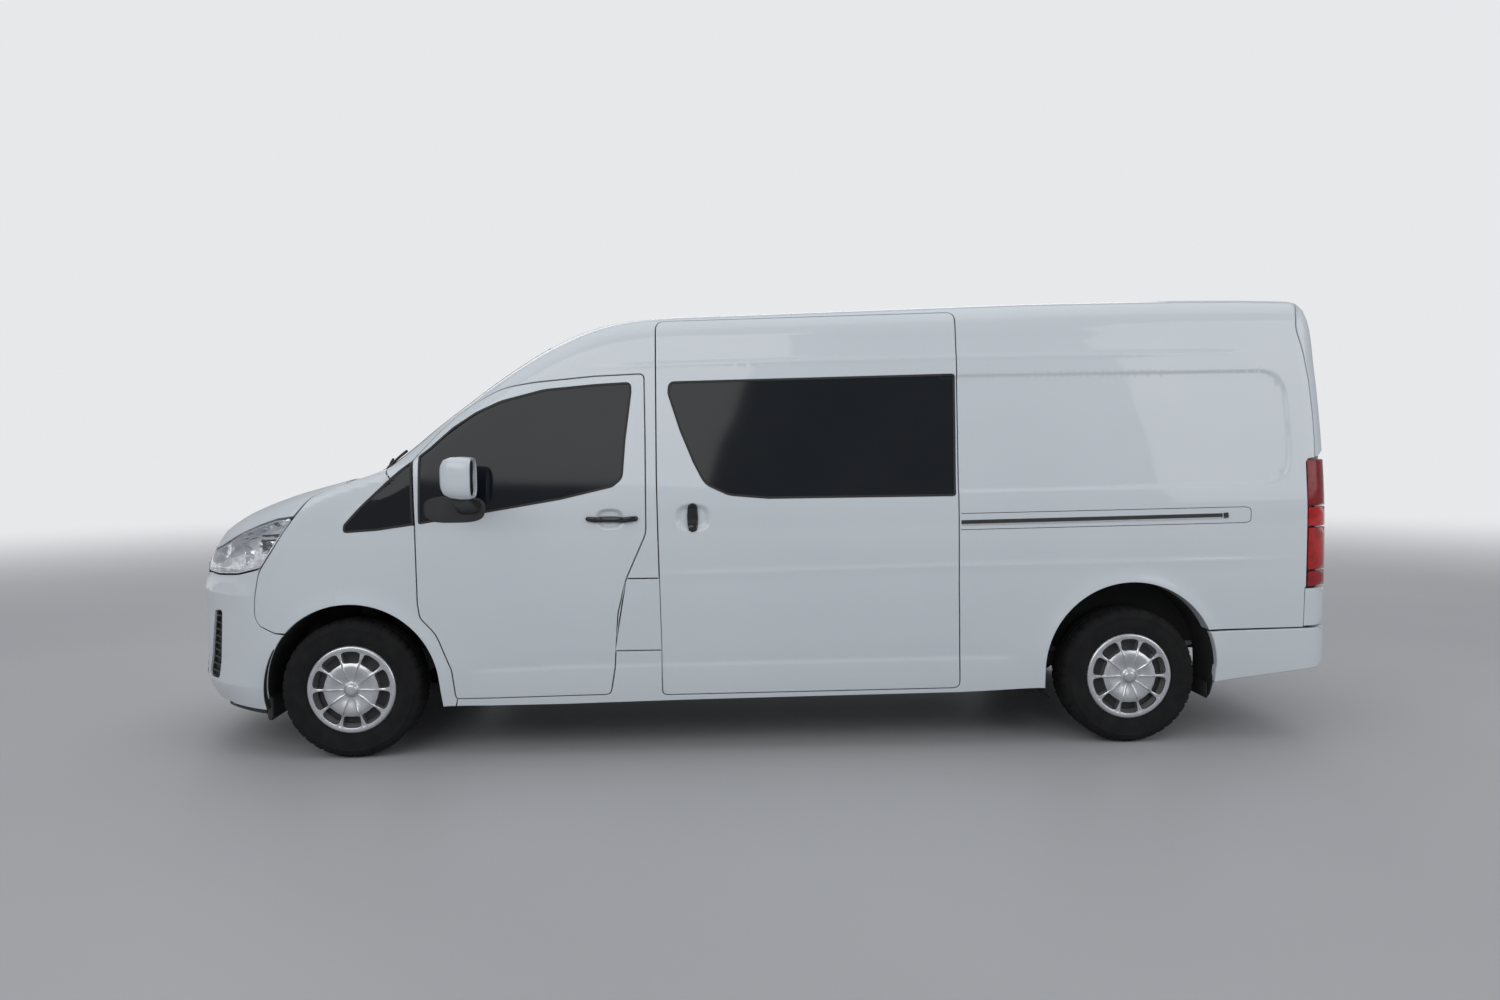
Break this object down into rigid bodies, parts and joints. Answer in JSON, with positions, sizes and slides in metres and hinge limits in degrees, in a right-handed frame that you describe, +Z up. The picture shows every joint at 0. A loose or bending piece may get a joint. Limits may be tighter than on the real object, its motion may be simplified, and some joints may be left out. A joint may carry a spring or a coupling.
{
  "type": "high-roof passenger and cargo van",
  "caption": "White semi-bonneted high-roof van with glazed sliding doors, blank rear quarters, a lift-up tailgate and a hinged hood.",
  "frame": {"origin": "on the ground below the middle of the overall length", "axes": "+Z up, front towards -X, left side at -Y"},
  "size_m": [5.915, 2.45, 2.283],
  "materials": {
    "body_paint": "gloss white",
    "glass": "dark tinted",
    "tyre": "matt",
    "rim": "silver paint",
    "black_plastic": "grained",
    "rail_metal": "satin",
    "lamp_clear": "clear",
    "lamp_red": "clear red",
    "floor": "satin",
    "chassis_black": "satin",
    "cast_metal": "raw",
    "exhaust_steel": "dull",
    "tank_plastic": "matt",
    "interior_plastic": "grained",
    "seat_fabric": "woven"
  },
  "bodies": {
    "body": {"chassis_rails": "chassis_black", "cowl_panel": "black_plastic", "dashboard": "interior_plastic", "engine": "cast_metal", "exhaust": "exhaust_steel", "floor_pan": "floor", "front_bumper": "body_paint", "front_fender_left": "body_paint", "front_fender_right": "body_paint", "front_seats": "seat_fabric", "front_suspension": "chassis_black", "fuel_tank": "tank_plastic", "gearbox": "cast_metal", "grille": "black_plastic", "headlights": "lamp_clear", "leaf_springs": "chassis_black", "radiator": "chassis_black", "rear_axle": "chassis_black", "rear_bench": "seat_fabric", "rear_bumper": "body_paint", "roof_panel": "body_paint", "side_frame_left": "body_paint", "side_frame_right": "body_paint", "side_glass": "glass", "slide_rails": "rail_metal", "sliding_door_left": "body_paint", "sliding_door_right": "body_paint", "spare_wheel": "tyre", "taillights": "lamp_red", "windscreen": "glass"},
    "front_door_left": {"front_door_left": "body_paint", "front_glass_left": "glass", "mirror_left": "body_paint"},
    "front_door_right": {"front_door_right": "body_paint", "front_glass_right": "glass", "mirror_right": "body_paint"},
    "tailgate": {"tailgate": "body_paint", "tailgate_glass": "glass"},
    "hood": {"hood": "body_paint"},
    "steering_wheel": {"steering_wheel": "interior_plastic"},
    "knuckle_left": {"knuckle_left": "chassis_black"},
    "knuckle_right": {"knuckle_right": "chassis_black"},
    "wheel_front_left": {"front_left_tyre": "tyre", "front_left_rim": "rim"},
    "wheel_front_right": {"front_right_tyre": "tyre", "front_right_rim": "rim"},
    "wheel_rear_left": {"rear_left_tyre": "tyre", "rear_left_rim": "rim"},
    "wheel_rear_right": {"rear_right_tyre": "tyre", "rear_right_rim": "rim"}
  },
  "joints": [
    {"name": "front_door_left_hinge", "type": "hinge", "parent": "body", "child": "front_door_left", "pos_m": [-1.6615, -0.977, 1], "axis": [0, 0, -1], "range_deg": [0, 68]},
    {"name": "front_door_right_hinge", "type": "hinge", "parent": "body", "child": "front_door_right", "pos_m": [-1.6615, 0.977, 1], "axis": [0, 0, 1], "range_deg": [0, 68]},
    {"name": "tailgate_hinge", "type": "hinge", "parent": "body", "child": "tailgate", "pos_m": [2.8085, 0, 2.286], "axis": [0, -1, 0], "range_deg": [0, 88]},
    {"name": "hood_hinge", "type": "hinge", "parent": "body", "child": "hood", "pos_m": [-1.9865, 0, 1.341], "axis": [0, 1, 0], "range_deg": [0, 50]},
    {"name": "steer_left", "type": "hinge", "parent": "body", "child": "knuckle_left", "pos_m": [-1.9725, -0.76, 0.34], "axis": [0, 0, 1], "range_deg": [-35, 35]},
    {"name": "steer_right", "type": "hinge", "parent": "body", "child": "knuckle_right", "pos_m": [-1.9725, 0.76, 0.34], "axis": [0, 0, 1], "range_deg": [-35, 35]},
    {"name": "steering_wheel_turn", "type": "hinge", "parent": "body", "child": "steering_wheel", "pos_m": [-1.1825, 0.42, 1.15], "axis": [0.9063, 0, 0.4226], "range_deg": [-540, 540]},
    {"name": "roll_front_left", "type": "hinge", "parent": "knuckle_left", "child": "wheel_front_left", "pos_m": [-1.9725, -0.8375, 0.34], "axis": [0, 1, 0], "continuous": true},
    {"name": "roll_front_right", "type": "hinge", "parent": "knuckle_right", "child": "wheel_front_right", "pos_m": [-1.9725, 0.8375, 0.34], "axis": [0, 1, 0], "continuous": true},
    {"name": "roll_rear_left", "type": "hinge", "parent": "body", "child": "wheel_rear_left", "pos_m": [1.8875, -0.835, 0.34], "axis": [0, 1, 0], "continuous": true},
    {"name": "roll_rear_right", "type": "hinge", "parent": "body", "child": "wheel_rear_right", "pos_m": [1.8875, 0.835, 0.34], "axis": [0, 1, 0], "continuous": true}
  ],
  "couplings": [
    {"joint": "steer_right", "follows": "steer_left", "ratio": 1},
    {"joint": "steering_wheel_turn", "follows": "steer_left", "ratio": 15.4}
  ]
}
